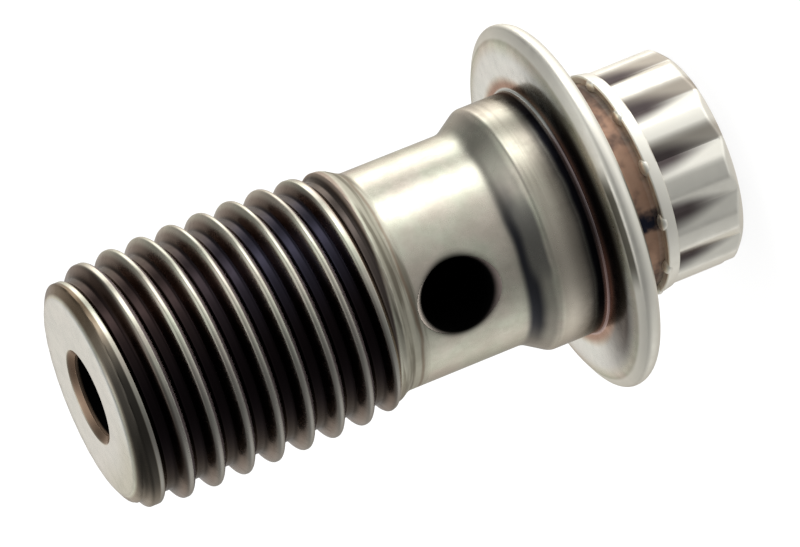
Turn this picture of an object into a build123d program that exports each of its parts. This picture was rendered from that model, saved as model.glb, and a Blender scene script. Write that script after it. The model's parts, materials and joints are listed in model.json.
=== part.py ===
from build123d import *
import math
import os

# Banjo bolt, M10 x 1.25, one piece of steel. Millimetres and degrees. The bolt stands on its
# head: +Z runs along its axis from the head's end face at Z 0 to the threaded tip, and the
# cross hole's axis is X. Radii are named as diameters, and heights run from part to part.

# 12-point head, a double hexagon with its points turned off
head_across_flats = 8.0
head_points_diameter = 8.82
head_height = 3.0
head_chamfer_width = 0.42
head_chamfer_height = 0.4
head_turn = 10.7  # a point's angle from the cross hole's axis
hexagon_sides = 6
hexagon_count = 2

# Ring between the head and the neck, with a small lug over each of the head's valleys
ring_height = 0.55
ring_step = 0.02  # out from the head's points
ring_flare = 0.11  # out again at the neck
lug_radius = 0.5
lug_length = 0.5  # in from the ring's edge
lug_rise = 0.14

# Neck and flange. The flange's rim is crowned in front and rounded behind.
neck_diameter = 8.4
neck_height = 0.97
neck_chamfer = 0.3
flange_diameter = 14.9
flange_front_radius = 2.15
flange_front_angle = 34.0
flange_edge_radius = 0.25
flange_back_radius = 0.5
flange_back_slope = 15.0

# Pilot collar under the flange, the cone from it to the shank, and the shank
under_flange_length = 19.54
collar_diameter = 9.92
collar_length = 1.95
cone_angle = 32.5
shank_relief = 0.04  # the shank's surface below the thread's root

# Thread: right hand, 60 degree flanks. Its rolled end runs down to a shoulder on the shank.
thread_diameter = 9.86
thread_pitch = 1.25
thread_flank_angle = 30.0
crest_share = 0.125  # of the pitch, the crest's flat
root_share = 0.357  # of the pitch, the root's flat
groove_overcut = 0.07  # the groove's cutter stands this far out of the crests
thread_full_length = 9.34
groove_length = 10.62  # from the tip's face to where the groove's root starts to climb
groove_end_angle = 182.3  # there, counted from the cross hole's axis
groove_end_rise = 0.36  # the root's climb in the groove's last turn
runout_length = 2.1
runout_diameter = 9.52
shoulder_angle = 31.0
tip_diameter = 7.9
tip_chamfer_width = 0.45
tip_chamfer_height = 0.3
lead_steep_length = 0.8
lead_steep_diameter = 9.5
lead_slow_length = 1.6

# Fluid passages: a blind bore up the axis, and one hole across the shank that meets it
bore_diameter = 3.35
bore_countersink_diameter = 3.83
bore_countersink_angle = 90.0
bore_past_cross_hole = 0.8
drill_point_angle = 118.0
cross_hole_diameter = 2.87
cross_hole_height = 5.7  # above the flange's front face
cross_countersink_diameter = 3.5
cross_countersink_angle = 60.0

# Radii and heights that follow from the sizes above
head_points = hexagon_sides * hexagon_count
ring_head_radius = head_points_diameter / 2 + ring_step
ring_neck_radius = ring_head_radius + ring_flare
flank_width = thread_pitch * (1 - crest_share - root_share) / 2
thread_depth = flank_width / math.tan(math.radians(thread_flank_angle))
thread_root_diameter = thread_diameter - 2 * thread_depth
shank_diameter = thread_root_diameter - 2 * shank_relief
ring_base = head_height
ring_top = ring_base + ring_height
neck_top = ring_top + neck_height
back_slope = math.radians(flange_back_slope)
back_end_radius = flange_diameter / 2 - flange_back_radius * (1 - math.sin(back_slope))
back_cone_rise = (back_end_radius - neck_diameter / 2) * math.tan(back_slope)
back_round_rise = flange_back_radius * math.cos(back_slope)
edge_rise = flange_edge_radius * math.cos(math.radians(flange_front_angle))
front_rise = flange_front_radius * (1 - math.cos(math.radians(flange_front_angle)))
flange_crown = neck_top + back_cone_rise + back_round_rise
flange_face = flange_crown + edge_rise + front_rise
collar_end = flange_face + collar_length
cone_length = (collar_diameter - shank_diameter) / 2 / math.tan(math.radians(cone_angle))
cone_end = collar_end + cone_length
tip = flange_face + under_flange_length
lead_edge_radius = tip_diameter / 2 + tip_chamfer_width
lead_end = tip - tip_chamfer_height
lead_steep_start = lead_end - lead_steep_length
lead_start = lead_steep_start - lead_slow_length
runout_start = tip - thread_full_length
runout_end = runout_start - runout_length
shoulder_length = (runout_diameter - shank_diameter) / 2 / math.tan(math.radians(shoulder_angle))
shoulder_end = runout_end - shoulder_length
cross_hole_z = flange_face + cross_hole_height
bore_floor = cross_hole_z - cross_hole_diameter / 2 - bore_past_cross_hole

BASE = (Align.CENTER, Align.CENTER, Align.MIN)


def head():
    """The 12-point head, with its points turned off and its end chamfered."""
    hexagon = RegularPolygon(head_across_flats / 2, hexagon_sides, major_radius=False)
    turn = 360 / head_points
    outline = Sketch() + [Rot(0, 0, turn * k) * hexagon for k in range(hexagon_count)]
    prism = extrude(outline, ring_top)
    points_radius = head_points_diameter / 2
    limit = Polyline(
        (0, 0),
        (points_radius - head_chamfer_width, 0),
        (points_radius, head_chamfer_height),
        (points_radius, ring_top),
        (0, ring_top),
        close=True,
    )
    turned = revolve(Plane.XZ * make_face(limit), Axis.Z)
    # A hexagon's corner lies on its X axis, so the turn is a point's own angle.
    return Rot(0, 0, head_turn) * (prism & turned)


def flange_profile():
    """The flange's outline in the XZ plane, from the neck's root to the collar's root."""
    back_start = (neck_diameter / 2, neck_top)
    back_end = (back_end_radius, neck_top + back_cone_rise)
    back = Line(back_start, back_end)
    back_round = JernArc(back @ 1, back % 1, flange_back_radius, 90 - flange_back_slope)
    edge = JernArc(back_round @ 1, (0, 1), flange_edge_radius, 90 - flange_front_angle)
    front = JernArc(edge @ 1, edge % 1, flange_front_radius, flange_front_angle)
    face = Line(front @ 1, (collar_diameter / 2, flange_face))
    return [back, back_round, edge, front, face]


def blank():
    """The turned blank from the ring to the tip, before the thread and the holes."""
    neck = Polyline(
        (0, ring_base),
        (ring_head_radius, ring_base),
        (ring_neck_radius, ring_top),
        (neck_diameter / 2, ring_top),
        (neck_diameter / 2, neck_top),
    )
    flange = flange_profile()
    shank = Polyline(
        (collar_diameter / 2, flange_face),
        (collar_diameter / 2, collar_end),
        (shank_diameter / 2, cone_end),
        (shank_diameter / 2, shoulder_end),
        (runout_diameter / 2, runout_end),
        (thread_diameter / 2, runout_start),
        (thread_diameter / 2, lead_start),
        (lead_steep_diameter / 2, lead_steep_start),
        (lead_edge_radius, lead_end),
        (tip_diameter / 2, tip),
        (0, tip),
        (0, ring_base),
    )
    section = make_face(Curve() + [neck, *flange, shank])
    corner = section.vertices().sort_by_distance((neck_diameter / 2, neck_top))[0]
    return revolve(Plane.XZ * chamfer(corner, neck_chamfer), Axis.Z)


def ring_lugs():
    """Twelve small rounded lugs on the ring's neck side, one over each valley of the head."""
    disc = Cylinder(lug_radius, lug_length, rotation=(0, 90, 0))
    lug = Pos(ring_head_radius - lug_length / 2, 0, ring_top + lug_rise - lug_radius) * disc
    # The ring's own height is kept, so that no lug reaches down into a valley.
    above = Pos(0, 0, ring_base) * Cylinder(flange_diameter / 2, ring_height + lug_rise, align=BASE)
    turns = [head_turn + 360 / head_points * (k + 0.5) for k in range(head_points)]
    return (Part() + [Rot(0, 0, turn) * lug for turn in turns]) & above


def thread_groove_turns():
    """The helical groove's turns, from above the tip down to the last, whose root climbs."""
    root = thread_root_diameter / 2
    rim = thread_diameter / 2 + groove_overcut
    half_root = thread_pitch * root_share / 2
    half_rim = half_root + (rim - root) * math.tan(math.radians(thread_flank_angle))
    corners = [(root, -half_root), (rim, -half_rim), (rim, half_rim), (root, half_root)]
    section = Plane.XZ * make_face(Polyline(*corners, close=True))
    turn = sweep(section, path=Helix(thread_pitch, thread_pitch, root), is_frenet=True)
    # A cone's helix takes its pitch along the cone's slope.
    slope = math.atan(groove_end_rise / thread_pitch)
    climb = Helix(
        thread_pitch / math.cos(slope),
        thread_pitch,
        root + groove_end_rise,
        cone_angle=-math.degrees(slope),
    )
    last = sweep(Pos(groove_end_rise, 0, 0) * section, path=climb, is_frenet=True)
    # Each turn ends where the next begins, and the top one is clear of the tip.
    floor = tip - groove_length
    count = math.ceil((groove_length + half_rim) / thread_pitch)
    turns = [Pos(0, 0, floor + thread_pitch * k) * turn for k in range(count)]
    turns.append(Pos(0, 0, floor - thread_pitch) * last)
    return [Rot(0, 0, groove_end_angle) * piece for piece in turns]


def axial_bore():
    """The blind bore, with a drilled point at its floor and a countersink at its mouth."""
    radius = bore_diameter / 2
    mouth = bore_countersink_diameter / 2
    sink = (mouth - radius) / math.tan(math.radians(bore_countersink_angle / 2))
    point = radius / math.tan(math.radians(drill_point_angle / 2))
    outline = Polyline(
        (0, bore_floor - point),
        (radius, bore_floor),
        (radius, tip - sink),
        (mouth, tip),
        (mouth, tip + sink),
        (0, tip + sink),
        close=True,
    )
    return revolve(Plane.XZ * make_face(outline), Axis.Z)


def cross_hole():
    """The hole across the shank, countersunk where it breaks out on each side."""
    radius = cross_hole_diameter / 2
    outer = cross_countersink_diameter / 2
    shank = shank_diameter / 2
    sink = (outer - radius) / math.tan(math.radians(cross_countersink_angle / 2))
    clear = thread_diameter / 2
    half = Polyline(
        (0, 0),
        (radius, 0),
        (radius, shank - sink),
        (outer, shank),
        (outer, clear),
        (0, clear),
        close=True,
    )
    tool = revolve(Plane.XZ * make_face(half), Axis.Z)
    pair = Rot(0, 90, 0) * tool + Rot(0, -90, 0) * tool
    return Pos(0, 0, cross_hole_z) * pair


def banjo_bolt():
    """The finished bolt, one solid."""
    bolt = blank() + ring_lugs() + head()
    bolt = bolt - thread_groove_turns()
    bolt = bolt - axial_bore()
    return bolt - cross_hole()


os.makedirs("parts", exist_ok=True)
export_step(banjo_bolt(), "parts/banjo_bolt.step")
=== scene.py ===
"""Looks for the banjo bolt: a finer skin for its turned and rolled forms, stained steel with
painted light and shade, a white floor, soft studio light and the camera. Sizes are in millimetres
and degrees."""
import json
import math
from functools import reduce

import bmesh
import bpy
from mathutils import Matrix, Vector

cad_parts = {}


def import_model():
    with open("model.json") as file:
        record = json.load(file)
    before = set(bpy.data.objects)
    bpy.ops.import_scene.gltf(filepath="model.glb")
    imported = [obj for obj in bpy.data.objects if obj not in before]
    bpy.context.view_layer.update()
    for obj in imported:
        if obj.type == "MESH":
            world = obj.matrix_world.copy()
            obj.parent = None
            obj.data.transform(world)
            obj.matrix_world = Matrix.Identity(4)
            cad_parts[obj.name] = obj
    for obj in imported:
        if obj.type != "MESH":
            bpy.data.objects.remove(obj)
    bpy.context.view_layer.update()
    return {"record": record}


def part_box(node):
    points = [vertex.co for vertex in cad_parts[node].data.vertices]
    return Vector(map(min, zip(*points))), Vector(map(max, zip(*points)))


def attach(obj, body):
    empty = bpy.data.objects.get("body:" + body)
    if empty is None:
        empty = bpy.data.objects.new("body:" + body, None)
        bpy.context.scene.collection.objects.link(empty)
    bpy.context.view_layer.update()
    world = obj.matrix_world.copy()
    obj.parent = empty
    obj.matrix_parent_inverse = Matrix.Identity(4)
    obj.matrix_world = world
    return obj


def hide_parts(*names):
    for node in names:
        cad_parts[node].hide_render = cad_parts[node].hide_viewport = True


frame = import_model()

MM = 0.001
CAMERA_AZIMUTH = 23.2  # the side that the camera looks at, as an angle about Z

# ---------------------------------------------------------------- sizes from the frame
mounts = {mount["name"]: mount for mount in frame["record"]["mounts"]}
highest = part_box("banjo_bolt")[1]


def mount_z(name):
    return mounts[name]["pos_m"][2] / MM


def mount_size(name, key):
    return mounts[name]["dims"][key]


TIP = highest[2] / MM
FLANGE_RADIUS = highest[0] / MM
FACE = mount_z("flange_seat")
COLLAR_RADIUS = mount_size("pilot_collar", "r_mm")
COLLAR_END = FACE + mount_size("pilot_collar", "length_mm")
BORE_RADIUS = mount_size("fluid_bore", "r_mm")
BORE_LENGTH = mount_size("fluid_bore", "length_mm")
CROSS_RADIUS = mount_size("cross_hole", "r_mm")
CROSS_Z = mount_z("cross_hole")

# ---------------------------------------------------------------- sizes of the thread
# Radii and sizes are in mm, and heights are counted down from the tip's face.
PITCH = 1.25
CREST = 4.93
ROOT = 4.372
CREST_FLAT = 0.18
FLANK = 30.0
CREST_ROUND = 0.11
ROOT_ROUND = 0.16
GROOVE_LENGTH = 10.62  # to where the groove's root starts to climb
GROOVE_END_ANGLE = 182.3  # there
GROOVE_END_RISE = 0.36  # the root's climb in the groove's last turn
GROOVE_END_DRIFT = 0.75  # how far the last turn falls behind its helix, and
GROOVE_END_CLOSE = 0.5  # how much narrower it becomes, as shares
LEAD_DROP = 0.62  # how low the lead cuts a crest at the tip's face
LEAD_SCALE = 0.85  # how fast that fades down the thread
TIP_FLAT = 3.86
TIP_ROUND = 0.3
TIP_SLOPE = 27.0  # of the chamfer, from the tip's face
TIP_BLEND = 0.06  # the round between the chamfer and the thread
RUNOUT_START = 9.34
RUNOUT_END = 11.17
RUNOUT_RADIUS = 4.76
RUNOUT_SKEW = 0.33  # the shoulder stands a little askew, furthest from the tip
RUNOUT_SKEW_ANGLE = 113.0  # at this angle
SHOULDER_ANGLE = 31.0
SHOULDER_ROUND = 0.08
SHOULDER_FOOT_ROUND = 0.12
SHANK = 4.332
THREAD_END = 12.45

# ---------------------------------------------------------------- sizes of the rest
MOUTH_RADIUS = 1.915
MOUTH_ROUND = 0.06
DRILL_POINT = 118.0
CROSS_SINK_RADIUS = 1.75
CROSS_SINK_ANGLE = 90.0

CONE_ANGLE = 32.5
CONE_FOOT_ROUND = 0.9
COLLAR_ROUND = 0.3
SEAT_ROUND = 0.1  # in the corner between the collar and the flange
FRONT_ANGLE = 34.0
FRONT_RADIUS = 2.15
EDGE_RADIUS = 0.25
BACK_SLOPE = 15.0
BACK_RADIUS = 0.5
NECK_RADIUS = 4.2
NECK_ROUND = 0.35
RING_HEIGHT = 0.55
RING_NECK_RADIUS = 4.54
RING_NECK_ROUND = 0.08
RING_HEAD_RADIUS = 4.43
RING_HEAD_ROUND = 0.05
RING_OVERLAP = 0.2  # of the ring's underside and the head

HEAD_HEIGHT = 3.0
HEAD_FLATS = 4.0  # half of the width across flats
HEAD_POINTS = 4.41
HEAD_POINT_ROUND = 0.02
HEAD_TURN = 10.7
HEAD_CHAMFER_WIDTH = 0.42
HEAD_CHAMFER_HEIGHT = 0.4
HEAD_CHAMFER_ROUND = 0.1
HEAD_EDGE_DROP = 0.08  # how far the end face's edge is rounded in, and
HEAD_EDGE_SCALE = 0.04  # how fast that fades up the chamfer
HEAD_OVERLAP = 0.1  # of the head and the ring
POINTS = 12
LUG_SIZE = (0.27, 0.38, 0.2)  # out, along the ring and up
LUG_RISE = 0.14

# ---------------------------------------------------------------- fineness of the skin
COLUMNS = 128
ROWS_A_TURN = 32
ROW_HEIGHT = 0.5  # of the turned forms, at most
ARC_TURN = 9.0  # of a round between two of its rows, at most
ARC_STEPS = 3  # of a round, at least
CUTTER_COLUMNS = 96
HEAD_COLUMNS = 240
HEAD_ROWS = 8
END_ROWS = 24
END_HEIGHT = 0.6  # of the head's end, which has END_ROWS rows of its own
LUG_COLUMNS = 16
LUG_ROWS = 10
SHARP_ANGLE = 28.0  # an edge turning more than this isn't shaded as a round


# ---------------------------------------------------------------- shape helpers
def tan(angle):
    return math.tan(math.radians(angle))


def sin(angle):
    return math.sin(math.radians(angle))


def cos(angle):
    return math.cos(math.radians(angle))


def smooth_min(a, b, width):
    """The lesser of a and b, with the corner between them rounded."""
    h = max(0.0, width - abs(a - b)) / width
    return min(a, b) - h * h * width / 4


def smooth_max(a, b, width):
    """The greater of a and b, with the corner between them rounded."""
    return -smooth_min(-a, -b, width)


def arc_points(corner, before, after, radius, steps):
    """The round of a corner between the directions towards the points before and after it."""
    to_before = (before - corner).normalized()
    to_after = (after - corner).normalized()
    half = to_before.angle(to_after) / 2
    reach = radius / math.tan(half)
    centre = corner + (to_before + to_after).normalized() * radius / math.sin(half)
    start = (corner + to_before * reach - centre).normalized()
    end = (corner + to_after * reach - centre).normalized()
    return [centre + start.slerp(end, k / steps) * radius for k in range(steps + 1)]


def rounded(corners):
    """A line through corners (radius, z, round), as (radius, z) points."""
    places = [Vector(c[:2]) for c in corners]
    line = []
    for k, (place, corner) in enumerate(zip(places, corners)):
        if corner[2] > 0:
            before, after = places[k - 1], places[k + 1]
            turn = math.pi - (before - place).angle(after - place)
            steps = max(ARC_STEPS, math.ceil(turn / math.radians(ARC_TURN)))
            line += arc_points(place, before, after, corner[2], steps)
        else:
            line.append(place)
    points = [line[0]]
    for place in line[1:]:
        span = place - points[-1]
        start = points[-1]
        pieces = max(1, math.ceil(span.length / ROW_HEIGHT))
        points += [start + span * (n / pieces) for n in range(1, pieces + 1)]
    return points


class Skin:
    """A closed skin around the Z axis, joined ring by ring."""

    def __init__(self, columns, turn=0.0):
        self.angles = [math.radians(turn) + 2 * math.pi * i / columns for i in range(columns)]
        self.vertices = []
        self.faces = []

    def point(self, radius, angle, z):
        place = (radius * math.cos(angle) * MM, radius * math.sin(angle) * MM, z * MM)
        self.vertices.append(place)
        return len(self.vertices) - 1

    def ring(self, radius, z):
        """One ring; radius and z are numbers, or functions of the angle."""
        if radius == 0:
            return [self.point(0, 0, z)] * len(self.angles)
        radii = [radius(a) if callable(radius) else radius for a in self.angles]
        heights = [z(a) if callable(z) else z for a in self.angles]
        return [self.point(*place) for place in zip(radii, self.angles, heights)]

    def face(self, *corners):
        corners = [c for k, c in enumerate(corners) if c != corners[k - 1]]
        if len(corners) > 2:
            self.faces.append(corners)

    def join(self, *rings):
        for upper, lower in zip(rings, rings[1:]):
            for i in range(len(upper)):
                self.face(upper[i - 1], lower[i - 1], lower[i], upper[i])

    def object(self, name):
        mesh = bpy.data.meshes.new(name)
        mesh.from_pydata(self.vertices, [], self.faces)
        mesh.update()
        obj = bpy.data.objects.new(name, mesh)
        bpy.context.collection.objects.link(obj)
        return obj


# ---------------------------------------------------------------- thread
def blank_radius(angle, depth):
    """The rolled blank's radius at a depth below the tip's face."""
    past = (depth - RUNOUT_START) / (RUNOUT_END - RUNOUT_START)
    runout = min(CREST, CREST - (CREST - RUNOUT_RADIUS) * past)
    skew = RUNOUT_SKEW * math.cos(angle - math.radians(RUNOUT_SKEW_ANGLE))
    foot = RUNOUT_END + skew + (RUNOUT_RADIUS - SHANK) / tan(SHOULDER_ANGLE)
    climb = (foot - depth) * tan(SHOULDER_ANGLE)
    shoulder = SHANK + smooth_max(0.0, climb, SHOULDER_FOOT_ROUND)
    return smooth_min(runout, shoulder, SHOULDER_ROUND)


def tip_radius(depth):
    """The tip's edge: a round into a steep chamfer."""
    drop = TIP_ROUND * (1 - cos(TIP_SLOPE))
    if depth > drop:
        return TIP_FLAT + TIP_ROUND * sin(TIP_SLOPE) + (depth - drop) / tan(TIP_SLOPE)
    return TIP_FLAT + math.sqrt(TIP_ROUND ** 2 - (TIP_ROUND - depth) ** 2)


def thread_radius(angle, depth):
    """The rolled thread's radius. A turn is counted from one groove's middle to the next."""
    turns = (depth - GROOVE_LENGTH) / PITCH + (angle - math.radians(GROOVE_END_ANGLE)) / math.tau
    from_groove = turns - round(turns)
    from_crest = turns - math.floor(turns) - 0.5
    groove_depth = depth - from_groove * PITCH
    crest_depth = depth - from_crest * PITCH
    cap = max(ROOT, CREST - LEAD_DROP * math.exp(-crest_depth / LEAD_SCALE))
    past = max(0.0, (groove_depth - GROOVE_LENGTH) / PITCH)
    floor = ROOT + GROOVE_END_RISE * past
    half_root = PITCH / 2 - CREST_FLAT / 2 - (CREST - ROOT) * tan(FLANK)
    half_root = half_root * max(0.0, 1 - GROOVE_END_CLOSE * past)
    reach = abs(from_groove + GROOVE_END_DRIFT * past * past) * PITCH - half_root
    flank = floor + smooth_max(0.0, reach / tan(FLANK), ROOT_ROUND)
    radius = smooth_min(min(cap, blank_radius(angle, depth)), flank, CREST_ROUND)
    return smooth_min(radius, tip_radius(depth), TIP_BLEND)


def thread_rows(skin):
    """The threaded end, in rows that follow the helix. Rows past either end of it lie on the
    end's own ring. Returns the top ring and the bottom ring."""
    low = TIP - THREAD_END
    count = math.ceil((TIP + PITCH - low) / PITCH * ROWS_A_TURN)
    top = skin.ring(TIP_FLAT, TIP)
    bottom = skin.ring(SHANK, low)
    columns = len(skin.angles)
    grid = []
    for i, angle in enumerate(skin.angles):
        column = []
        for j in range(count + 1):
            z = TIP - PITCH * j / ROWS_A_TURN + PITCH * i / columns
            if z >= TIP:
                column.append(top[i])
            elif z <= low:
                column.append(bottom[i])
            else:
                column.append(skin.point(thread_radius(angle, TIP - z), angle, z))
        grid.append(column)
    # One turn on, a row meets the row one pitch above it.
    grid.append([grid[0][max(0, j - ROWS_A_TURN)] for j in range(count + 1)])
    for left, right in zip(grid, grid[1:]):
        for j in range(count):
            skin.face(left[j], left[j + 1], right[j + 1], right[j])
    return top, bottom


# ---------------------------------------------------------------- body
def bore_line():
    """The bore's outline from the drilled point to the edge of the tip's face."""
    sink = MOUTH_RADIUS - BORE_RADIUS
    floor = TIP - sink - BORE_LENGTH
    return rounded([
        (0, floor - BORE_RADIUS / tan(DRILL_POINT / 2), 0),
        (BORE_RADIUS, floor, 0),
        (BORE_RADIUS, TIP - sink, 0),
        (MOUTH_RADIUS, TIP, MOUTH_ROUND),
        (TIP_FLAT, TIP, 0),
    ])


def turned_line():
    """The outline from the shank to the ring's underside, inside the head."""
    flat = FLANGE_RADIUS - EDGE_RADIUS * (1 - sin(FRONT_ANGLE)) - FRONT_RADIUS * sin(FRONT_ANGLE)
    front_corner = flat + FRONT_RADIUS * tan(FRONT_ANGLE / 2)
    edge_corner = FACE - (FLANGE_RADIUS - front_corner) * tan(FRONT_ANGLE)
    crown = edge_corner - EDGE_RADIUS * tan((90 - FRONT_ANGLE) / 2)
    back_corner = crown - BACK_RADIUS * tan((90 - BACK_SLOPE) / 2)
    neck_top = back_corner - (FLANGE_RADIUS - NECK_RADIUS) * tan(BACK_SLOPE)
    cone_end = COLLAR_END + (COLLAR_RADIUS - SHANK) / tan(CONE_ANGLE)
    ring_top = HEAD_HEIGHT + RING_HEIGHT
    return rounded([
        (SHANK, TIP - THREAD_END, 0),
        (SHANK, cone_end, CONE_FOOT_ROUND),
        (COLLAR_RADIUS, COLLAR_END, COLLAR_ROUND),
        (COLLAR_RADIUS, FACE, SEAT_ROUND),
        (front_corner, FACE, FRONT_RADIUS),
        (FLANGE_RADIUS, edge_corner, EDGE_RADIUS),
        (FLANGE_RADIUS, back_corner, BACK_RADIUS),
        (NECK_RADIUS, neck_top, NECK_ROUND),
        (NECK_RADIUS, ring_top, 0),
        (RING_NECK_RADIUS, ring_top, RING_NECK_ROUND),
        (RING_HEAD_RADIUS, HEAD_HEIGHT, RING_HEAD_ROUND),
        (HEAD_FLATS - RING_OVERLAP, HEAD_HEIGHT, 0),
        (0, HEAD_HEIGHT, 0),
    ])


def body():
    """All but the head, with the bore and without the cross hole."""
    skin = Skin(COLUMNS)
    top, bottom = thread_rows(skin)
    skin.join(*[skin.ring(p.x, p.y) for p in bore_line()[:-1]], top)
    skin.join(bottom, *[skin.ring(p.x, p.y) for p in turned_line()[1:]])
    return skin.object("body_blank")


def hole_cutter():
    """The cross hole's cutter, turned about Z and then laid along X."""
    skin = Skin(CUTTER_COLUMNS)
    slope = tan(CROSS_SINK_ANGLE / 2)
    depth = (CROSS_SINK_RADIUS - CROSS_RADIUS) / slope
    clear = SHANK + 1
    half = [(0, clear), (CROSS_SINK_RADIUS + slope, clear), (CROSS_RADIUS, SHANK - depth)]
    line = half + [(r, -z) for r, z in reversed(half)]
    skin.join(*[skin.ring(r, z) for r, z in line])
    obj = skin.object("cross_cutter")
    across = Matrix.Rotation(math.pi / 2, 4, "Y")
    obj.data.transform(Matrix.Translation((0, 0, CROSS_Z * MM)) @ across)
    return obj


def cut(obj, cutter):
    """Takes the cutter out of the object and out of the scene."""
    modifier = obj.modifiers.new("hole", "BOOLEAN")
    modifier.operation = "DIFFERENCE"
    modifier.solver = "EXACT"
    modifier.object = cutter
    depsgraph = bpy.context.evaluated_depsgraph_get()
    mesh = bpy.data.meshes.new_from_object(obj.evaluated_get(depsgraph))
    obj.modifiers.clear()
    obj.data = mesh
    bpy.data.objects.remove(cutter)


# ---------------------------------------------------------------- head
def head_radius(angle):
    """Two hexagons' union, with the points turned off."""
    step = math.tau / POINTS
    local = (angle - math.radians(HEAD_TURN)) % step - step / 2
    flat = HEAD_FLATS / math.cos(step / 2 + abs(local))
    return smooth_min(flat, HEAD_POINTS, HEAD_POINT_ROUND)


def head_outline(z):
    """The head's radius at a height, as a function of the angle."""
    slope = HEAD_CHAMFER_WIDTH / HEAD_CHAMFER_HEIGHT
    limit = HEAD_POINTS - HEAD_CHAMFER_WIDTH + slope * z
    limit -= HEAD_EDGE_DROP * math.exp(-z / HEAD_EDGE_SCALE)
    return lambda angle: smooth_min(head_radius(angle), limit, HEAD_CHAMFER_ROUND)


def head():
    skin = Skin(HEAD_COLUMNS, HEAD_TURN)
    heights = [HEAD_HEIGHT + HEAD_OVERLAP]
    heights += [HEAD_HEIGHT * k / HEAD_ROWS for k in range(HEAD_ROWS, 1, -1)]
    heights += [END_HEIGHT * k / END_ROWS for k in range(END_ROWS, -1, -1)]
    rings = [skin.ring(head_outline(z), z) for z in heights]
    skin.join(skin.ring(0, heights[0]), *rings, skin.ring(0, 0))
    return skin.object("head_blank")


def add_lugs(mesh):
    """A small dome over each of the head's valleys, on the ring's neck side."""
    out, along, up = LUG_SIZE
    top = HEAD_HEIGHT + RING_HEIGHT + LUG_RISE
    centre = (RING_HEAD_RADIUS - out / 2, 0, top - up)
    dome = Matrix.Translation(centre) @ Matrix.Diagonal((out, along, up, 1))
    for k in range(POINTS):
        turn = Matrix.Rotation(math.radians(HEAD_TURN + 360 / POINTS * (k + 0.5)), 4, "Z")
        place = Matrix.Scale(MM, 4) @ turn @ dome
        bmesh.ops.create_uvsphere(
            mesh, u_segments=LUG_COLUMNS, v_segments=LUG_ROWS, radius=1, matrix=place
        )


def joined(*objects):
    """One mesh of the objects' meshes and the lugs."""
    mesh = bmesh.new()
    add_lugs(mesh)
    for obj in objects:
        mesh.from_mesh(obj.data)
    bmesh.ops.recalc_face_normals(mesh, faces=mesh.faces)
    whole = bpy.data.meshes.new("bolt")
    mesh.to_mesh(whole)
    mesh.free()
    whole.polygons.foreach_set("use_smooth", [True] * len(whole.polygons))
    whole.set_sharp_from_angle(angle=math.radians(SHARP_ANGLE))
    return whole


def bolt():
    """The whole skin, which stands in for the solid."""
    obj = body()
    cut(obj, hole_cutter())
    head_blank = head()
    obj.data = joined(obj, head_blank)
    bpy.data.objects.remove(head_blank)
    obj.name = "bolt"
    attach(obj, "root")
    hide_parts("banjo_bolt")
    return obj


# ---------------------------------------------------------------- node helpers
class Graph:
    """A node tree with short calls for the nodes that the materials are made of."""

    def __init__(self, tree):
        self.tree = tree
        tree.nodes.clear()

    def node(self, kind, **settings):
        n = self.tree.nodes.new(kind)
        for key, value in settings.items():
            setattr(n, key, value)
        return n

    def put(self, value, socket):
        if isinstance(value, bpy.types.NodeSocket):
            self.tree.links.new(value, socket)
        else:
            socket.default_value = value

    def math(self, operation, *values, clamp=False):
        n = self.node("ShaderNodeMath", operation=operation, use_clamp=clamp)
        for k, value in enumerate(values):
            self.put(value, n.inputs[k])
        return n.outputs[0]

    def add(self, a, b):
        return self.math("ADD", a, b)

    def subtract(self, a, b):
        return self.math("SUBTRACT", a, b)

    def times(self, *factors):
        """The product: of masks, what all of them have in common."""
        return reduce(lambda a, b: self.math("MULTIPLY", a, b), factors)

    def most(self, *values):
        """The greatest: of masks, what any of them has."""
        return reduce(lambda a, b: self.math("MAXIMUM", a, b), values)

    def length(self, a, b):
        return self.math("SQRT", self.add(self.times(a, a), self.times(b, b)))

    def step(self, value, low, high, to_low=0.0, to_high=1.0):
        """A smooth step of value from low to high."""
        n = self.node("ShaderNodeMapRange", interpolation_type="SMOOTHSTEP")
        for k, v in enumerate((value, low, high, to_low, to_high)):
            self.put(v, n.inputs[k])
        return n.outputs[0]

    def band(self, value, a, b, c, d):
        """1 between b and c, falling to 0 at a and d."""
        return self.times(self.step(value, a, b), self.step(value, c, d, 1.0, 0.0))

    def noise(self, vector, scale, detail=2.0, roughness=0.5):
        n = self.node("ShaderNodeTexNoise")
        self.put(vector, n.inputs["Vector"])
        n.inputs["Scale"].default_value = scale
        n.inputs["Detail"].default_value = detail
        n.inputs["Roughness"].default_value = roughness
        return n.outputs["Fac"]

    def mix(self, factor, a, b):
        n = self.node("ShaderNodeMix", data_type="RGBA")
        self.put(factor, n.inputs[0])
        self.put(a, n.inputs[6])
        self.put(b, n.inputs[7])
        return n.outputs[2]

    def paint(self, color, mask, over, strength=1.0):
        """The colour with another laid over it where the mask is."""
        return self.mix(self.math("MULTIPLY", mask, strength, clamp=True), color, over)


def rgb(r, g, b):
    return (r, g, b, 1.0)


# ---------------------------------------------------------------- places on the surface
MARKS_SCALE = (0.25, 0.25, 4.2)  # of the tool marks, which run around the axis
WANDER = 0.22  # how far the turned forms' stains wander along the axis
BRIGHT_SHIFT = 0.02  # of a crest's bright edge from its middle, towards the tip


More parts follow.
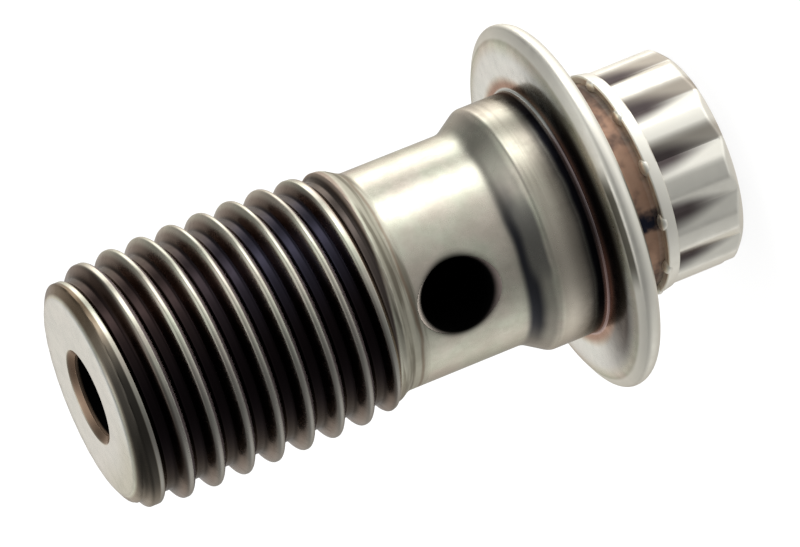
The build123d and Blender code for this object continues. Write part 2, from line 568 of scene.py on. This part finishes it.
class Place:
    """Where a point of the surface lies, as sockets of a graph.

    z is its height, depth is counted down from the tip's face, wandering is the depth with a
    slow waver, and r and from_hole are the distances from the axis and from the cross hole's
    axis, all in mm. turn is the angle in turns, and marks are the fine marks of turning.
    """

    def __init__(self, g):
        self.g = g
        scaled = g.node("ShaderNodeVectorMath", operation="SCALE")
        g.put(g.node("ShaderNodeTexCoord").outputs["Object"], scaled.inputs[0])
        scaled.inputs["Scale"].default_value = 1.0 / MM
        self.mm = scaled.outputs[0]
        split = g.node("ShaderNodeSeparateXYZ")
        g.put(self.mm, split.inputs[0])
        x, y, self.z = split.outputs
        self.r = g.length(x, y)
        self.depth = g.subtract(TIP, self.z)
        self.turn = g.math("DIVIDE", g.math("ARCTAN2", y, x), math.tau)
        self.from_hole = g.length(y, g.subtract(self.z, CROSS_Z))
        self.marks = self.tool_marks()
        wander = g.times(g.subtract(g.noise(self.mm, 0.6, 1.0), 0.5), WANDER)
        self.wandering = g.add(self.depth, wander)
        self.follow_thread()
        self.follow_head()

    def tool_marks(self):
        stretch = self.g.node("ShaderNodeVectorMath", operation="MULTIPLY")
        self.g.put(self.mm, stretch.inputs[0])
        stretch.inputs[1].default_value = MARKS_SCALE
        return self.g.noise(stretch.outputs[0], 1.0)

    def follow_thread(self):
        """Adds the places along the thread.

        from_crest runs from the nearest crest's middle away from the tip, off_edge from its
        bright edge either way, and skewed is the depth along the shoulder, all in mm.
        past_first and past_last are turns of the helix past the first and the last crest.
        """
        g = self.g
        turns = g.math("DIVIDE", g.subtract(self.depth, GROOVE_LENGTH), PITCH)
        turns = g.add(turns, g.subtract(self.turn, GROOVE_END_ANGLE / 360))
        self.from_crest = g.times(g.subtract(g.math("FRACT", turns), 0.5), PITCH)
        # Where the lead cuts a crest low, its bright edge is the one away from the tip.
        cut = g.math("EXPONENT", g.times(self.depth, -1 / LEAD_SCALE))
        cut = g.times(cut, LEAD_DROP * tan(FLANK))
        self.off_edge = g.math("ABSOLUTE", g.add(g.subtract(self.from_crest, cut), BRIGHT_SHIFT))
        past_first = g.subtract(g.subtract(turns, g.times(cut, 1 / PITCH)), FIRST_CREST)
        past_last = g.subtract(turns, LAST_CREST)
        # Behind, the ends of the thread's stains and painted shade slip over one groove, to meet
        # themselves a turn on.
        self.past_first = g.add(past_first, self.where(turn=(-0.25, -0.5)))
        self.past_last = g.subtract(past_last, self.where(turn=(0.33, 0.5)))
        askew = g.times(self.toward(RUNOUT_SKEW_ANGLE), RUNOUT_SKEW)
        self.skewed = g.subtract(self.depth, askew)

    def follow_head(self):
        """Adds from_valley, the place across the nearest flute, in shares of its width."""
        g = self.g
        flutes = g.subtract(g.times(self.turn, POINTS), HEAD_TURN * POINTS / 360)
        self.from_valley = g.subtract(g.math("FRACT", flutes), 0.5)

    def toward(self, angle):
        """The cosine of the angle between the point's side of the axis and a given one."""
        away = self.g.subtract(self.g.times(self.turn, math.tau), math.radians(angle))
        return self.g.math("COSINE", away)

    def side(self, angle, low, high):
        """A mask of the side that faces an angle: 0 where toward is low and 1 where it is high."""
        return self.g.step(self.toward(angle), low, high)

    def beside(self, angle, low, high):
        """A mask of the two sides a quarter turn from an angle, where low is above high."""
        return self.g.step(self.g.math("ABSOLUTE", self.toward(angle)), low, high)

    def where(self, **limits):
        """A mask of what lies in the limits of each named measure. Two limits are where it
        starts and where it is full, and four are a band: start, full, still full and end."""
        masks = []
        for name, numbers in limits.items():
            kind = self.g.band if len(numbers) == 4 else self.g.step
            masks.append(kind(getattr(self, name), *numbers))
        return self.g.times(*masks)


# ---------------------------------------------------------------- colours of the steel
CLEAN_WARM = rgb(0.70, 0.63, 0.54)
CLEAN_COOL = rgb(0.68, 0.70, 0.57)
CLOUD = rgb(0.36, 0.35, 0.27)
WORN = rgb(0.95, 0.93, 0.84)
# Painted shade and painted reflections in the thread's grooves, and a painted blue highlight:
GROOVE_EDGE_SHADE = rgb(0.075, 0.055, 0.045)
GROOVE_BROWN_REFLECTION = rgb(0.19, 0.145, 0.12)
GROOVE_BLUE_HIGHLIGHT = rgb(0.06, 0.065, 0.105)
GROOVE_DEEP_SHADE = rgb(0.011, 0.008, 0.009)
GROOVE_FLOOR_REFLECTION = rgb(0.028, 0.019, 0.018)
GROOVE_COLD_REFLECTION = rgb(0.022, 0.021, 0.031)
GROOVE_UPPER_REFLECTION = rgb(0.060, 0.038, 0.030)
LEAD_STAIN = rgb(0.32, 0.28, 0.22)
LEAD_BROWN = rgb(0.15, 0.105, 0.065)
# Painted shade on the lead just below the tip's face:
LEAD_SHADE = rgb(0.055, 0.05, 0.042)
# Painted shade on the crests' lower side:
CREST_SHADE = rgb(0.30, 0.29, 0.27)
END_STAIN = rgb(0.42, 0.34, 0.28)
END_DEEP = rgb(0.075, 0.062, 0.055)
MOUTH_STAIN = rgb(0.34, 0.23, 0.16)
SHOULDER_STAIN = rgb(0.24, 0.22, 0.17)
SHOULDER_LIGHT = rgb(0.52, 0.50, 0.41)
FOOT_STAIN = rgb(0.24, 0.17, 0.12)
SINK_STAIN = rgb(0.14, 0.115, 0.105)
SINK_LIGHT = rgb(0.36, 0.32, 0.28)
CONE_STAIN = rgb(0.30, 0.29, 0.25)
# Painted shade on the cone, at its foot and in a patch:
CONE_FOOT_SHADE = rgb(0.050, 0.052, 0.060)
CONE_SHADE_PATCH = rgb(0.25, 0.245, 0.22)
# A painted dark reflection inside the flange's rim:
RIM_DARK_REFLECTION = rgb(0.17, 0.16, 0.13)
COLLAR_STAIN = rgb(0.44, 0.41, 0.33)
# Painted light on the collar, on one side:
COLLAR_PAINTED_LIGHT = rgb(0.60, 0.55, 0.46)
# The colour of the collar's tool marks, also painted as shade by the corner:
COLLAR_MARKS_AND_SHADE = rgb(0.16, 0.14, 0.115)
# Painted shade in the corner between the collar and the flange:
CORNER_SHADE = rgb(0.010, 0.010, 0.014)
CORNER_LINE = rgb(0.16, 0.13, 0.13)
# Painted highlights on the line of the round in that corner:
CORNER_WARM_HIGHLIGHT = rgb(0.44, 0.31, 0.29)
CORNER_COOL_HIGHLIGHT = rgb(0.56, 0.58, 0.55)
FACE_CLEAN = rgb(0.67, 0.69, 0.67)
FACE_DARKER = rgb(0.48, 0.48, 0.39)
FACE_STAIN = rgb(0.30, 0.17, 0.12)
NECK_LIGHT = rgb(0.42, 0.25, 0.17)
NECK_SPOT = rgb(0.02, 0.022, 0.035)
NECK_DARK = rgb(0.12, 0.07, 0.055)
# Painted shade in the head's flutes:
FLUTE_VALLEY_SHADE = rgb(0.11, 0.09, 0.09)
FLUTE_FACET_SHADE = rgb(0.50, 0.45, 0.38)
# Painted shade inside the holes:
HOLE_SHADE = rgb(0.001, 0.001, 0.001)
# Dark on each crest's side away from the tip, and painted light on its upper side:
FLANK_DARK = rgb(0.032, 0.025, 0.026)
FLANK_PAINTED_LIGHT = rgb(0.11, 0.085, 0.085)
SPECULAR_TINT = rgb(0.84, 0.78, 0.72)


# ---------------------------------------------------------------- stains, painted light and painted shade of the steel
FIRST_CREST = -8.5  # the crest before the first full groove, in turns of the helix
LAST_CREST = -0.5  # and the one after the last
SEAT_DEPTHS = (19.3, 19.45, 19.7, 19.8)  # of the flange's front face
HEAD_HEIGHTS = (4.0, 3.6)  # of the head and the ring

# The sides that stains, painted light and painted shade lie on, as the angle faced and the limits
# of its mask
FACE_DARKER_SIDE = (-55.0, 0.5, 1.0)
CREST_SHADE_SIDE = (-40.0, 0.1, 0.9)
UPPER_SIDE = (90.0, 0.2, 0.9)
BLUE_HIGHLIGHT_SIDE = (CAMERA_AZIMUTH + 28, 0.9, 0.99)
BROWN_LEAD_SIDE = (110.0, 0.1, 0.8)
LEAD_SHADE_SIDE = (-5.0, 0.55, 0.9)
CONE_FOOT_SHADE_SIDE = (-8.0, 0.45, 0.93)
CONE_SHADE_PATCH_SIDE = (14.0, 0.91, 0.99)
COLLAR_LIGHT_SIDE = (-20.0, 0.5, 0.95)
CORNER_SHADE_SIDE = (5.0, 0.1, 0.8)
COOL_HIGHLIGHT_SIDE = (113.0, -0.3, 0.2)
RIM_REFLECTION_SIDE = (CAMERA_AZIMUTH - 14, 0.93, 0.985)
FLUTE_FACET_SHADE_SIDE = (100.0, -0.2, 0.6)
FLANK_LIGHT_SIDE = (90.0, 0.3, 0.8)

# Pairs of sides, beside the angle given
OUTLINE_SIDES = (CAMERA_AZIMUTH, 0.6, 0.2)
HIGHLIGHT_LINE_SIDES = (CAMERA_AZIMUTH + 5, 0.95, 0.75)

NECK_SPOT_ANGLE = -2.0
NECK_SPOT_LIMITS = (0.986, 0.994)


def clean_steel(g, at):
    """The steel's own colour, with its warm and cool patches and faint clouds."""
    warmth = g.step(g.noise(at.mm, 0.45, 3.0, 0.6), 0.3, 0.7)
    cloud = g.step(g.noise(at.mm, 1.1, 4.0, 0.65), 0.3, 0.7)
    return g.mix(g.times(cloud, 0.3), g.mix(warmth, CLEAN_WARM, CLEAN_COOL), CLOUD)


def face_stains(g, at, color):
    """The tip's end face and the flange's front face, which are cleaner than the rest."""
    tip = at.where(depth=(0.05, 0.02), r=(1.9, 1.96))
    seat = at.where(depth=SEAT_DEPTHS, r=(5.2, 5.7, 6.3, 6.9))
    color = g.paint(color, g.most(tip, seat), FACE_CLEAN, 0.85)
    # The tip's face is darker on the side facing -55 degrees.
    darker_side = g.times(tip, at.where(r=(2.2, 3.7)), at.side(*FACE_DARKER_SIDE))
    return g.paint(color, darker_side, FACE_DARKER, 0.8)


def groove_shade_and_reflections(g, at, color):
    """The thread's grooves: painted shade up to their crests' bright edges, painted reflections,
    brown on the two sides a quarter turn from the camera and lighter on the upper side, and a
    painted blue highlight.
    """
    grooved = at.where(past_first=(-0.12, -0.03), past_last=(0.08, 0.05))
    # Painted shade: the crests are darker on the side facing -40 degrees.
    darker_side = g.times(grooved, at.side(*CREST_SHADE_SIDE))
    color = g.paint(color, darker_side, CREST_SHADE, 0.85)
    outline = at.beside(*OUTLINE_SIDES)
    above = at.side(*UPPER_SIDE)
    # The painted shade starts a little further from the bright edges on the upper side, so their
    # highlight is painted wider there.
    off = g.subtract(at.off_edge, g.times(above, 0.02))
    # Painted shade by the crests' bright edges, painted brown as a reflection on the two sides a
    # quarter turn from the camera.
    edge = g.mix(outline, GROOVE_EDGE_SHADE, GROOVE_BROWN_REFLECTION)
    color = g.paint(color, g.step(off, 0.02, 0.24), edge, grooved)
    # Deeper painted shade in the grooves, left off near the crests on those two sides.
    deep_shade = g.times(g.step(off, 0.13, 0.33), g.step(outline, 0.6, 0.2))
    deep_shade = g.most(g.step(off, 0.22, 0.44), deep_shade)
    # On the upper side the deep shade gives way to painted reflections: brownish nearer the tip,
    # bluish further down, and browner up the flanks.
    floor = g.mix(at.where(depth=(3.0, 8.0)), GROOVE_FLOOR_REFLECTION, GROOVE_COLD_REFLECTION)
    flank = g.mix(at.where(r=(ROOT + 0.03, ROOT + 0.12)), floor, GROOVE_UPPER_REFLECTION)
    color = g.paint(color, deep_shade, g.mix(above, GROOVE_DEEP_SHADE, flank), grooved)
    # A painted blue highlight in the grooves, on one narrow side.
    blue_highlight = at.where(from_crest=(0.2, 0.32, 0.38, 0.5), depth=(3.0, 9.5))
    blue_highlight = g.times(blue_highlight, at.side(*BLUE_HIGHLIGHT_SIDE))
    return g.paint(color, blue_highlight, GROOVE_BLUE_HIGHLIGHT, grooved)


def lead_stains_and_shade(g, at, color):
    """The stain from the tip's face to the first crest, browner on the side facing 110 degrees,
    with painted shade just below the face on the side facing -5 degrees.
    """
    lead = at.where(past_first=(-0.03, -0.1), depth=(0.04, 0.12))
    shade = g.mix(at.side(*BROWN_LEAD_SIDE), LEAD_STAIN, LEAD_BROWN)
    color = g.paint(color, lead, shade, 0.95)
    # Painted shade on the lead just below the tip's face, on the side facing -5 degrees.
    low = g.times(lead, at.where(depth=(0.05, 0.17)), at.side(*LEAD_SHADE_SIDE))
    return g.paint(color, low, LEAD_SHADE)


def runout_stains(g, at, color):
    """The stain past the last crest, and the rolled lines of the shoulder."""
    end = at.where(past_last=(0.05, 0.09), skewed=(11.2, 11.08), depth=(9.8, 10.0))
    color = g.paint(color, end, END_STAIN, 0.95)
    color = g.paint(color, at.where(r=(4.72, 4.58)), END_DEEP, end)
    shoulder = at.where(skewed=(11.15, 11.3), depth=(12.3, 12.1))
    lines = g.mix(at.where(marks=(0.42, 0.58)), SHOULDER_STAIN, SHOULDER_LIGHT)
    return g.paint(color, shoulder, lines, 0.9)


def shank_stains_and_shade(g, at, color):
    """The line at the shoulder's foot, and the cone between the shank and the collar, with painted
    shade at the cone's foot and in a patch nearer the collar.
    """
    color = g.paint(color, at.where(wandering=(11.88, 11.97, 12.0, 12.09)), FOOT_STAIN, 0.6)
    color = g.paint(color, at.where(wandering=(16.1, 16.6, 17.3, 17.5)), CONE_STAIN, 0.6)
    # Painted shade at the cone's foot, on the side facing -8 degrees.
    deep_shade = at.where(wandering=(16.3, 16.6, 16.8, 17.2))
    color = g.paint(color, deep_shade, CONE_FOOT_SHADE, at.side(*CONE_FOOT_SHADE_SIDE))
    # A patch of painted shade nearer the collar, on the side facing 14 degrees.
    patch = at.where(wandering=(16.65, 17.0, 17.35, 17.5))
    return g.paint(color, patch, CONE_SHADE_PATCH, at.side(*CONE_SHADE_PATCH_SIDE))


def collar_stains_light_and_shade(g, at, color):
    collar = at.where(wandering=(17.45, 17.9, 18.9, 19.0))
    color = g.paint(color, collar, COLLAR_STAIN, 0.6)
    color = g.paint(color, g.times(collar, at.where(marks=(0.35, 0.7))), COLLAR_MARKS_AND_SHADE, 0.35)
    # Painted light: the collar is lighter on the side facing -20 degrees.
    color = g.paint(color, collar, COLLAR_PAINTED_LIGHT, at.side(*COLLAR_LIGHT_SIDE))
    # Painted shade by the corner with the flange, on the side facing 5 degrees.
    collar_corner_shade = g.times(at.where(wandering=(17.95, 18.65, 18.9, 19.0)), at.side(*CORNER_SHADE_SIDE))
    return g.paint(color, collar_corner_shade, COLLAR_MARKS_AND_SHADE, 0.7)


def corner_stains_shade_and_highlight(g, at, color):
    """Painted shade in the corner between the collar and the flange, a brown ring on the flange's
    face, and the thin line of its round with a painted highlight on its sides.
    """
    shade_spread = g.times(at.where(r=(7.15, 6.3)), at.side(*CORNER_SHADE_SIDE))
    shade_spread = g.most(at.where(r=(5.4, 5.0)), shade_spread)
    # Painted shade in the corner, reaching further over the flange on the side facing 5 degrees.
    color = g.paint(color, at.where(wandering=(18.5, 19.15, 19.8, 20.0)), CORNER_SHADE, shade_spread)
    color = g.paint(color, at.where(depth=SEAT_DEPTHS, r=(5.02, 5.06, 5.15, 5.65)), FACE_STAIN)
    # The round's line: a painted highlight, warm or cool, on the two sides a quarter turn from the
    # camera, and darker towards and away from it.
    line = at.where(depth=(19.3, 19.42, 19.56, 19.6), r=(5.12, 5.02))
    shade = g.mix(at.side(*COOL_HIGHLIGHT_SIDE), CORNER_WARM_HIGHLIGHT, CORNER_COOL_HIGHLIGHT)
    shade = g.mix(at.beside(*HIGHLIGHT_LINE_SIDES), CORNER_LINE, shade)
    return g.paint(color, line, shade)


def rim_wear_and_dark_reflection(g, at, color):
    """The flange's worn rim, with a painted dark reflection in a line inside it on the camera's
    side.
    """
    color = g.paint(color, at.where(r=(6.93, 7.08)), WORN, 0.9)
    line = at.where(r=(6.94, 7.04, 7.24, 7.34))
    return g.paint(color, line, RIM_DARK_REFLECTION, at.side(*RIM_REFLECTION_SIDE))


def neck_stains(g, at, color):
    """The worn head and ring, and the rusty neck with its one dark spot."""
    color = g.paint(color, at.where(z=HEAD_HEIGHTS), WORN)
    lug = at.where(r=(4.19, 4.23), z=(3.8, 3.72))
    neck = at.where(z=(3.45, 3.6, 4.6, 4.9), r=(5.3, 4.55))
    neck = g.times(neck, g.subtract(1.0, lug))
    rust = g.mix(g.step(g.noise(at.mm, 0.9, 3.0, 0.6), 0.35, 0.62), NECK_DARK, NECK_LIGHT)
    color = g.paint(color, neck, rust, 0.92)
    ragged = g.times(g.noise(at.mm, 2.5), 0.012)
    spot = g.step(g.subtract(at.toward(NECK_SPOT_ANGLE), ragged), *NECK_SPOT_LIMITS)
    return g.paint(color, spot, NECK_SPOT, neck)


def flute_shade(g, at, color):
    """Painted shade in each of the head's flutes: on one facet on the upper side, and in a wedge
    along the valley. The wedge is wide at the ring and narrows to nothing at the head's end."""
    facet = at.where(from_valley=(0.0, 0.04, 0.2, 0.42), z=(3.1, 3.0))
    # Painted shade on one facet of each flute, on the upper side.
    color = g.paint(color, facet, FLUTE_FACET_SHADE, at.side(*FLUTE_FACET_SHADE_SIDE))
    # Its two edges move away from the valley with the height.
    upper = g.add(g.times(at.z, 0.14), 0.02)
    lower = g.subtract(g.times(at.z, -0.13), 0.02)
    above = g.step(at.from_valley, upper, g.times(upper, 0.2))
    below = g.step(at.from_valley, lower, g.times(lower, 0.1))
    wedge = g.times(above, below, at.where(r=(4.4, 4.3), z=(0.0, 2.4, 3.02, 3.06)))
    # Painted shade in a wedge along each valley.
    return g.paint(color, wedge, FLUTE_VALLEY_SHADE)


def hole_stains(g, at, color):
    """The countersinks of the bore and of the cross hole."""
    color = g.paint(color, at.where(r=(1.97, 1.93), depth=(-0.01, 0.05)), MOUTH_STAIN, 0.9)
    sink = at.where(from_hole=(1.85, 1.72), r=(4.34, 4.31), z=(9.5, 10.0, 14.0, 14.5))
    shade = g.mix(at.where(z=(CROSS_Z - 0.8, CROSS_Z + 0.8)), SINK_STAIN, SINK_LIGHT)
    return g.paint(color, sink, shade)


STAINS_AND_PAINTED_LIGHT = (
    face_stains,
    groove_shade_and_reflections,
    lead_stains_and_shade,
    runout_stains,
    shank_stains_and_shade,
    collar_stains_light_and_shade,
    corner_stains_shade_and_highlight,
    rim_wear_and_dark_reflection,
    neck_stains,
    flute_shade,
    hole_stains,
)


# ---------------------------------------------------------------- steel
def roughness(g, at, inside):
    """Uneven all over, and rougher in the places listed."""
    rough = g.step(g.noise(at.mm, 1.6, 4.0, 0.65), 0.25, 0.75, 0.17, 0.31)
    rim = at.where(r=(6.75, 7.0))
    head = at.where(z=HEAD_HEIGHTS)
    neck = at.where(z=(3.5, 3.6, 4.4, 4.7), r=(4.5, 4.3))
    shoulder = at.where(depth=(11.0, 11.2, 11.9, 12.3))
    added = ((inside, 0.6), (rim, 0.2), (head, 0.18), (neck, 0.3), (shoulder, 0.25))
    for mask, amount in added:
        rough = g.add(rough, g.times(mask, amount))
    return rough


def steel():
    material = bpy.data.materials.new("satin_steel")
    material.use_nodes = True
    g = Graph(material.node_tree)
    at = Place(g)
    color = clean_steel(g, at)
    # The stains and the painted light and shade, each laid over the last.
    for stain in STAINS_AND_PAINTED_LIGHT:
        color = stain(g, at, color)
    # The holes' walls are painted black as painted shade and are not metallic, and the cross
    # hole's countersink is matt.
    bore = at.where(r=(1.75, 1.69), depth=(0.2, 0.4))
    sink = at.where(from_hole=(1.82, 1.75), r=(4.325, 4.305))
    inside = g.most(bore, sink, at.where(from_hole=(1.5, 1.46)))
    color = g.paint(color, g.most(bore, at.where(from_hole=(1.76, 1.46))), HOLE_SHADE)
    # Each crest's side away from the tip is dark and not metallic, with painted light on the upper
    # side.
    dark_flank = at.where(from_crest=(0.06, 0.12, 0.16, 0.34), depth=(1.2, 1.6, 9.6, 10.2))
    dark_flank = g.times(dark_flank, at.where(r=(ROOT - 0.2, ROOT - 0.1, CREST - 0.06, CREST - 0.02)))
    color = g.paint(color, dark_flank, g.mix(at.side(*FLANK_LIGHT_SIDE), FLANK_DARK, FLANK_PAINTED_LIGHT))

    shader = g.node("ShaderNodeBsdfPrincipled")
    g.put(g.subtract(1.0, g.most(inside, dark_flank)), shader.inputs["Metallic"])
    g.put(color, shader.inputs["Base Color"])
    g.put(roughness(g, at, inside), shader.inputs["Roughness"])
    shader.inputs["Specular IOR Level"].default_value = 0.0
    shader.inputs["Specular Tint"].default_value = SPECULAR_TINT
    out = g.node("ShaderNodeOutputMaterial")
    g.put(shader.outputs[0], out.inputs["Surface"])
    return material


bolt().data.materials.append(steel())


# ---------------------------------------------------------------- floor
FLOOR_SIZE = 1.2  # in metres
FLOOR_COLOR = rgb(0.9, 0.9, 0.89)
FLOOR_WHITE = 0.9  # how much of what the camera sees of the floor is plain white


def floor():
    """A plain white floor that takes the bolt's shadow."""
    bpy.ops.mesh.primitive_plane_add(size=FLOOR_SIZE, location=(0, 0, 0))
    plane = bpy.context.object
    plane.name = "floor"
    material = bpy.data.materials.new("white_floor")
    material.use_nodes = True
    g = Graph(material.node_tree)
    diffuse = g.node("ShaderNodeBsdfDiffuse")
    diffuse.inputs["Color"].default_value = FLOOR_COLOR
    glow = g.node("ShaderNodeEmission")
    glow.inputs["Strength"].default_value = 1.0
    path = g.node("ShaderNodeLightPath")
    mixed = g.node("ShaderNodeMixShader")
    g.put(g.times(path.outputs["Is Camera Ray"], FLOOR_WHITE), mixed.inputs[0])
    g.put(diffuse.outputs[0], mixed.inputs[1])
    g.put(glow.outputs[0], mixed.inputs[2])
    out = g.node("ShaderNodeOutputMaterial")
    g.put(mixed.outputs[0], out.inputs["Surface"])
    plane.data.materials.append(material)
    plane.visible_glossy = False


floor()


# ---------------------------------------------------------------- light
AMBIENT = 0.25

# Soft panels around the bolt: azimuth from the camera's side, elevation, tightness, strength
PANELS = {
    "upper": (119, -15, 22, 2.6),
    "main": (67, -15, 24, 3.0),
    "main_edge": (38, -15, 9, 0.55),
    "front": (0, -12, 10, 0.16),
    "lower": (-118, -15, 5, 0.8),
    "top_back": (148, -15, 14, 0.7),
    "tip_end": (180, 20, 12, 1.1),
    "head_end": (0, -65, 6, 0.8),
    "head_rim": (180, -48, 14, 0.7),
    "main_low": (67, -48, 12, 1.5),
    "upper_low": (119, -48, 12, 1.0),
    "over": (180, 84, 20, 1.7),
    "main_high": (62, 46, 10, 0.8),
    "front_high": (32, 50, 14, 0.35),
}


# Lamps beside them: azimuth and elevation as above, width in metres, power in watts
LAMPS = {
    "key": (80.0, 55.0, 0.4, 4.0),
    "fill": (-120.0, 50.0, 0.4, 3.0),
}
LAMP_DISTANCE = 0.5


def direction(azimuth, elevation):
    """A unit vector. Azimuth is counted from the camera's side, elevation from the floor."""
    around = azimuth + CAMERA_AZIMUTH
    out = cos(elevation)
    return Vector((cos(around) * out, sin(around) * out, sin(elevation)))


def panel_light(g):
    """The light of all panels in the direction that is looked at."""
    look = g.node("ShaderNodeTexCoord").outputs["Generated"]
    total = AMBIENT
    for azimuth, elevation, tight, strength in PANELS.values():
        dot = g.node("ShaderNodeVectorMath", operation="DOT_PRODUCT")
        g.put(look, dot.inputs[0])
        dot.inputs[1].default_value = direction(azimuth, elevation)
        power = g.times(g.subtract(dot.outputs["Value"], 1.0), tight)
        total = g.add(g.times(g.math("EXPONENT", power), strength), total)
    return total


def world():
    """The panels' light on the bolt, and plain white behind it."""
    studio = bpy.data.worlds.new("studio")
    bpy.context.scene.world = studio
    studio.use_nodes = True
    g = Graph(studio.node_tree)
    path = g.node("ShaderNodeLightPath")
    seen = g.most(path.outputs["Is Camera Ray"], path.outputs["Is Transmission Ray"])
    level = g.node("ShaderNodeMix", data_type="FLOAT")
    g.put(seen, level.inputs[0])
    g.put(panel_light(g), level.inputs[2])
    level.inputs[3].default_value = 1.0
    back = g.node("ShaderNodeBackground")
    g.put(level.outputs[0], back.inputs["Strength"])
    out = g.node("ShaderNodeOutputWorld")
    g.put(back.outputs[0], out.inputs["Surface"])


world()


def lamp(name, azimuth, elevation, width, power):
    """A soft lamp that faces the bolt's foot and isn't seen in its steel."""
    data = bpy.data.lights.new(name, "AREA")
    data.shape = "DISK"
    data.size = width
    data.energy = power
    obj = bpy.data.objects.new(name, data)
    bpy.context.collection.objects.link(obj)
    place = direction(azimuth, elevation) * LAMP_DISTANCE
    obj.location = place
    obj.rotation_euler = (-place).to_track_quat("-Z", "Y").to_euler()
    obj.visible_glossy = False


for name, values in LAMPS.items():
    lamp(name, *values)


# ---------------------------------------------------------------- camera
CAMERA_ELEVATION = 15.544  # above a plane across the bolt's axis
CAMERA_ROLL = 21.968  # of the axis's line in the photo, where the tip is at the left
CAMERA_DISTANCE = 246.914
AIM_DEPTH = 13.109  # of the point aimed at, below the tip's face
AIM_ASIDE = -0.0668  # across the bolt
PHOTO_WIDTH = 800  # in pixels
FOCAL_LENGTH = 6475.3  # in pixels
SENSOR_WIDTH = 36.0
CLIP = (0.01, 5.0)  # nearest and furthest, in metres


def camera():
    """The photo's own camera, fitted to the outline of the bolt."""
    turn = Matrix.Rotation(math.radians(CAMERA_AZIMUTH), 3, "Z")
    along = turn @ Vector((sin(CAMERA_ELEVATION), 0, -cos(CAMERA_ELEVATION)))
    across = turn @ Vector((0, -1, 0))
    forward = turn @ Vector((-cos(CAMERA_ELEVATION), 0, -sin(CAMERA_ELEVATION)))
    right = along * cos(CAMERA_ROLL) + across * sin(CAMERA_ROLL)
    up = along * sin(CAMERA_ROLL) - across * cos(CAMERA_ROLL)
    aim = turn @ Vector((0, AIM_ASIDE, TIP - AIM_DEPTH)) * MM
    data = bpy.data.cameras.new("camera")
    data.sensor_width = SENSOR_WIDTH
    data.lens = FOCAL_LENGTH / PHOTO_WIDTH * SENSOR_WIDTH
    data.clip_start, data.clip_end = CLIP
    obj = bpy.data.objects.new("camera", data)
    bpy.context.collection.objects.link(obj)
    axes = Matrix((right, up, -forward)).transposed().to_4x4()
    obj.matrix_world = Matrix.Translation(aim - forward * CAMERA_DISTANCE * MM) @ axes
    bpy.context.scene.camera = obj


camera()
bpy.context.scene.view_settings.view_transform = "Standard"
